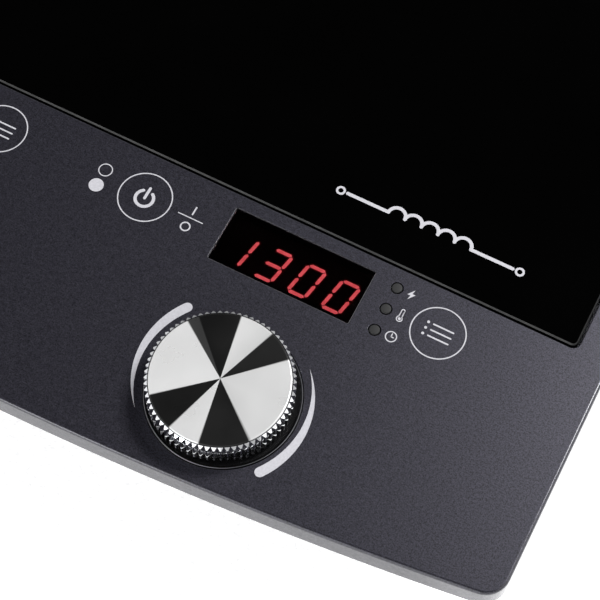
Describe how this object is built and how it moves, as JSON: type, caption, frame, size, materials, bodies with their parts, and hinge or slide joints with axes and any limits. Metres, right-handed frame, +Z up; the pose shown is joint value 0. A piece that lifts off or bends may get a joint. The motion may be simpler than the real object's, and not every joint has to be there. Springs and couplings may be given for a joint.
{
  "type": "portable double induction cooktop",
  "caption": "Slim table-top induction hob: black glass over two cooking zones in line, and a bowed front panel with displays, touch keys and turning knobs.",
  "frame": {"origin": "on the table under the middle of the body's plan outline", "axes": "+X to the user's right, +Y from the front edge to the back, +Z up"},
  "size_m": [0.4, 0.59, 0.0702],
  "materials": {
    "anthracite_paint": "satin metallic paint with a fine flake",
    "black_glass": "polished glass-ceramic, opaque black",
    "seal_rubber": "matte silicone",
    "base_plastic": "fine moulded texture",
    "foot_rubber": "matte moulded rubber",
    "screw_steel": "zinc plated",
    "circuit_board": "solder resist",
    "gland_rubber": "matte moulded rubber",
    "terminal_ceramic": "unglazed",
    "former_plastic": "heat-resistant moulding",
    "copper_winding": "enamelled stranded copper wire",
    "mica": "pressed mica sheet, flaky",
    "sensor_ceramic": "unglazed",
    "heatsink_aluminium": "extruded, natural",
    "capacitor_film": "epoxy-dipped",
    "choke_core": "painted ferrite with copper turns",
    "fan_plastic": "glossy moulded plastic",
    "display_lens": "smoked lens with red figures behind it",
    "module_plastic": "moulded",
    "lamp_lens": "smoked dome, unlit",
    "touch_foam": "conductive foam",
    "encoder_plastic": "moulded with a metal bush",
    "shaft_steel": "turned",
    "bezel_plastic": "black dish with a polished rim",
    "knob_chrome": "bright knurled side",
    "knob_face": "turned face with fine circular grooves"
  },
  "bodies": {
    "root": {"top_housing": "anthracite_paint", "glass_plate": "black_glass", "glass_seal": "seal_rubber", "bottom_housing": "base_plastic", "control_board": "circuit_board", "cord_gland": "gland_rubber", "terminal_block": "terminal_ceramic", "foot_front_left": "foot_rubber", "foot_front_right": "foot_rubber", "foot_rear_left": "foot_rubber", "foot_rear_right": "foot_rubber", "housing_screw_1": "screw_steel", "housing_screw_2": "screw_steel", "housing_screw_3": "screw_steel", "housing_screw_4": "screw_steel", "coil_former_front": "former_plastic", "coil_winding_front": "copper_winding", "mica_sheet_front": "mica", "temperature_sensor_front": "sensor_ceramic", "power_board_front": "circuit_board", "heatsink_front": "heatsink_aluminium", "film_capacitor_front": "capacitor_film", "line_choke_front": "choke_core", "fan_frame_front": "fan_plastic", "coil_former_rear": "former_plastic", "coil_winding_rear": "copper_winding", "mica_sheet_rear": "mica", "temperature_sensor_rear": "sensor_ceramic", "power_board_rear": "circuit_board", "heatsink_rear": "heatsink_aluminium", "film_capacitor_rear": "capacitor_film", "line_choke_rear": "choke_core", "fan_frame_rear": "fan_plastic", "display_window_left": "display_lens", "display_module_left": "module_plastic", "indicator_power_left": "lamp_lens", "indicator_temperature_left": "lamp_lens", "indicator_timer_left": "lamp_lens", "touch_pad_power_left": "touch_foam", "touch_pad_menu_left": "touch_foam", "encoder_body_left": "encoder_plastic", "knob_bezel_left": "bezel_plastic", "display_window_right": "display_lens", "display_module_right": "module_plastic", "indicator_power_right": "lamp_lens", "indicator_temperature_right": "lamp_lens", "indicator_timer_right": "lamp_lens", "touch_pad_power_right": "touch_foam", "touch_pad_menu_right": "touch_foam", "encoder_body_right": "encoder_plastic", "knob_bezel_right": "bezel_plastic"},
    "knob_left": {"encoder_shaft_left": "shaft_steel", "knob_body_left": "knob_chrome", "knob_cap_left": "knob_face"},
    "knob_right": {"encoder_shaft_right": "shaft_steel", "knob_body_right": "knob_chrome", "knob_cap_right": "knob_face"},
    "fan_front": {"fan_rotor_front": "fan_plastic"},
    "fan_rear": {"fan_rotor_rear": "fan_plastic"}
  },
  "joints": [
    {"name": "knob_left_turn", "type": "hinge", "parent": "root", "child": "knob_left", "pos_m": [-0.0769, -0.2594, 0.064], "axis": [0, 0, 1], "continuous": true},
    {"name": "knob_right_turn", "type": "hinge", "parent": "root", "child": "knob_right", "pos_m": [0.0909, -0.2594, 0.064], "axis": [0, 0, 1], "continuous": true},
    {"name": "fan_front_spin", "type": "hinge", "parent": "root", "child": "fan_front", "pos_m": [-0.12591, -0.07125, 0.0225], "axis": [0, 0, 1], "continuous": true},
    {"name": "fan_rear_spin", "type": "hinge", "parent": "root", "child": "fan_rear", "pos_m": [-0.12591, 0.16475, 0.0225], "axis": [0, 0, 1], "continuous": true}
  ]
}
